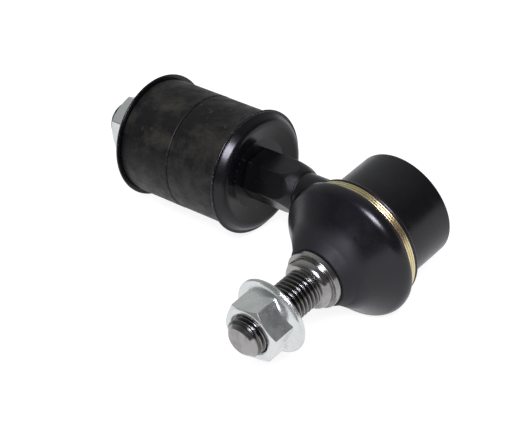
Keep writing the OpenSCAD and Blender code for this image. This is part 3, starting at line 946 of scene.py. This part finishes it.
hex_r = hexagon(HEX_ACROSS, 30, SHANK_COLUMNS, 90)
degrees = (np.degrees(angle) + 180) % 360 - 180
wear_glint_side, worn_wide = bell(degrees, WEAR_GLINT_DEG, 13), bell(degrees, WEAR_GLINT_DEG, 30)
waist_at = np.linspace(17.6, 23.6, 7)
end_at = np.linspace(23.7, 31.4, 64)
flats_at = np.linspace(31.8, 39.2, 8)
for s in np.concatenate([waist_at, end_at, flats_at]):
    long_round = HEX_REACH - END_ROUND + math.sqrt(END_ROUND**2 - max(HEX_START - s, 0.0) ** 2)
    small_step = np.interp(s, [24.3, 24.5, 26.0], [4.9, 5.4, 9.0])
    end_r = min(long_round, small_step)
    rubbed = 0.62 * bell(s, 25.4, 1.6, 4)
    # Two lines of near-white flecks at the hexagon's end: worn paint, and painted glints where the edge
    # would catch the lamp.
    glint_and_chip_lines = max(bell(s, 24.75, 0.3), 0.9 * bell(s, 26.2, 0.3))
    wear_and_glint = np.maximum(worn_wide * rubbed, wear_glint_side * glint_and_chip_lines)
    shank_ring(soft_max(soft_min(hex_r, end_r, 0.12), WAIST_R, 0.1), s, wear_and_glint)
for s, cut_back in ((39.5, 0.0), (39.65, 0.08), (39.8, 0.25), (39.88, 0.45), (39.9, 0.6)):
    shank_ring(hex_r - cut_back, s)
print("Shank has", len(shank_rings), "rings to its shoulder")

# %% Stem
STEM_R, STEM_END = 5.0, 89.3
STEM_THREAD_START, STEM_THREAD_END = 66.5, 89.2

stem_rows = [(5.2, 39.9), (STEM_R, 40.0), (STEM_R, 45.0), (STEM_R, 65.8)]
stem_rows += [(STEM_R, s) for s in np.linspace(66.0, 88.4, 256)]
stem_rows += zip(np.linspace(4.97, 4.28, 12), np.linspace(88.5, 89.2, 12))
stem_rows += [(4.15, 89.27)] + [(r, STEM_END) for r in (3.95, 2.0, 0.0)]
for r, s in stem_rows:
    shank_ring(r, s)
shank_radius, shank_station, shank_wear = (np.array(rows) for rows in zip(*shank_rings))
shank_mesh = skin_mesh("forged_shank", shank_radius, shank_station, False, shank_wear)
shank_mesh = cut_thread(shank_mesh, forged_paint, STEM_R, STEM_THREAD_START, STEM_THREAD_END)
piece(shank_mesh, STEM_AXES, forged_paint, "link", "forged_body", "link_body")

# %% [markdown]
# ## Flange nuts
# A flange nut is a hexagon that grows out of a wide foot. The foot sweeps up into the hexagon in a hollow
# curve, and the crown is turned. At every height the radius is the hexagon, the sweep or the crown,
# whichever is cut last, so the nut is again rings about an axis. Its bore gets the inside thread.

# %% Flange nuts
NUT_ACROSS, NUT_BORE_R, NUT_COLUMNS = 14.0, 5.06, 300
FLANGE_R, FLANGE_ROUND = 9.52, 0.47
FOOT_R, FOOT_DEEP, FOOT_TOP, FOOT_HIGH = 9.8, 2.9, 4.0, 3.02
CROWN_R, CROWN_SLOPE = 6.75, 1.75


def flange_nut(name, seat, high, turned):
    """A hexagon nut with a swept flange, seated at a station, in mm."""
    hex_side = hexagon(NUT_ACROSS, turned, NUT_COLUMNS, 70)
    chamfer = [(5.1, 0.58), (5.4, 0.3), (5.66, 0.02)]
    rows = [(r, 0.0) for r in (5.75, 6.4, 9.4, 9.5)]
    rows += [(r, z) for r, z, _ in arc_points(FLANGE_R, FLANGE_ROUND, FLANGE_ROUND, -84, 66, 14)]
    for lift in np.radians(np.linspace(0, 88, 36)):
        foot = FOOT_R - FOOT_DEEP * math.sin(lift)
        rows.append((soft_max(hex_side, foot, 0.3), FOOT_TOP - FOOT_HIGH * math.cos(lift)))
    rows += [(hex_side, z) for z in np.linspace(4.1, high - 1.1, 6)]
    for z in np.linspace(high - 1.0, high - 0.04, 22):
        crown = CROWN_R + (high - z) * CROWN_SLOPE
        rows.append((soft_min(hex_side, crown, 0.12), z))
    rows += [(r, high) for r in (6.7, 6.6, 6.2, 5.75)]
    rows += [(r, high - z) for r, z in reversed(chamfer)]
    rows += [(NUT_BORE_R, z) for z in np.linspace(high - 0.62, 0.62, int(high / 0.11))]
    rows += chamfer
    radius = np.array([np.broadcast_to(r, NUT_COLUMNS) for r, _ in rows])
    station = np.array([[z + seat] for _, z in rows])
    mesh = skin_mesh(name, radius, station, True)
    start, end = seat + 0.3, seat + high - 0.3
    return cut_thread(mesh, zinc, NUT_BORE_R, start, end, runout=0.3, side=-1.0, depth=0.55)


stud_nut_mesh = flange_nut("stud_nut", seat=40.5, high=8.5, turned=5)
stem_nut_mesh = flange_nut("stem_nut", seat=76.1, high=10.2, turned=5)
piece(stud_nut_mesh, STUD_AXES, zinc, "stud_nut", "zinc", "flange_nut")
piece(stem_nut_mesh, STEM_AXES, zinc, "stem_nut", "zinc", "lock_nut")

# %% [markdown]
# ## Cup washers and bushes
# The washers are pressed from plate: a thin rim, a full rounded ring that grips the rubber, and a dished
# middle. The bushes are plain rubber rolls with soft edges, squeezed a little at the seam where a bracket
# sits in use.

# %% Cup washers
INNER_RIM_AT, OUTER_RIM_AT = 41.5, 74.5
WASHER_R, WASHER_HOLE_R = 16.4, 5.05


def cup_washer(name, rim_at, outward, dish):
    """A cup washer with its rim at a station. Outward is 1 when its raised ring faces the stem's end."""
    rim = rounded(
        [
            (13.4, 0.9, 0), (15.3, 0, 0.1), (WASHER_R, 0, 0.2), (WASHER_R, 0.56, 0.45),
            (15.8, 0.5, 0.1), (15.58, 0.75, 0),
        ],
        closed=False,
    )
    ring = [(r, 0.5 + (15.76 - r) * 1.4, 0.0) for r in np.linspace(15.5, 14.85, 5)]
    ring += arc_points(13.217, 0.79, 1.9, 36, 104, 20)
    middle = rounded(
        [
            (12.6, 2.59, 0), (dish + 0.1, 1.6, 0.8), (WASHER_HOLE_R, 1.6, 0.2), (WASHER_HOLE_R, -0.2, 0.2),
            (10.5, -0.2, 0.5), (12.1, 0.9, 0.5), (13.2, 0.9, 0),
        ],
        closed=False,
    )
    profile = np.concatenate([rim, ring, middle])
    profile[:, 1] = rim_at + outward * profile[:, 1]
    profile[:, 2] *= 0.9
    return lathe(name, profile)


inner_cup = cup_washer("cup_inner", INNER_RIM_AT, -1, dish=9.1)
outer_cup = cup_washer("cup_outer", OUTER_RIM_AT, 1, dish=10.1)
piece(inner_cup, STEM_AXES, gloss_paint, "link", "black_paint", "inner_washer")
piece(outer_cup, STEM_AXES, gloss_paint, "link", "black_paint", "outer_washer")

# %% Rubber bushes
BUSH_HOLE_R, BUSH_LENGTH = 6.6, 16.475


def bush(name, rim_at, inward, outer, seam):
    """A rubber bush from its washer's rim to the seam, whose edge has the radius seam."""
    profile = rounded(
        [
            (BUSH_HOLE_R, 0.25, 0.1), (10.5, 0.25, 0.3), (12.1, -0.85, 0.3), (13.3, -0.85, 0.3),
            (15.05, 0.05, 0.2), (outer - 0.15, 0.35, 0.4), (outer, 2.2, 2.0), (outer - 0.02, 8.0, 4.0),
            (outer, BUSH_LENGTH, seam), (BUSH_HOLE_R, BUSH_LENGTH, 0.1),
        ]
    )
    profile[:, 1] = rim_at + inward * profile[:, 1]
    return lathe(name, profile)


inner_roll = bush("bush_inner", INNER_RIM_AT, 1, outer=15.28, seam=0.55)
outer_roll = bush("bush_outer", OUTER_RIM_AT, -1, outer=15.34, seam=0.4)
piece(inner_roll, STEM_AXES, bush_rubber, "link", "bush_rubber", "inner_bush")
piece(outer_roll, STEM_AXES, bush_rubber, "link", "bush_rubber", "outer_bush")

# %% [markdown]
# ## Pieces that keep their CAD shapes
# The closing plate, the resin seat, the ring in the boot's mouth and the distance sleeve are plain or
# hidden, so they keep their CAD shapes and get their finish only.

# %% Finishes of the CAD pieces
for name, material in (
    ("end_plate", forged_paint),
    ("ball_seat", resin),
    ("boot_mouth_ring", bright_steel),
    ("distance_sleeve", bright_steel),
):
    obj = cad[name]
    if not obj.material_slots:
        obj.data.materials.append(material)
    for slot in obj.material_slots:
        slot.material = material
    print(name, "takes", material.name)
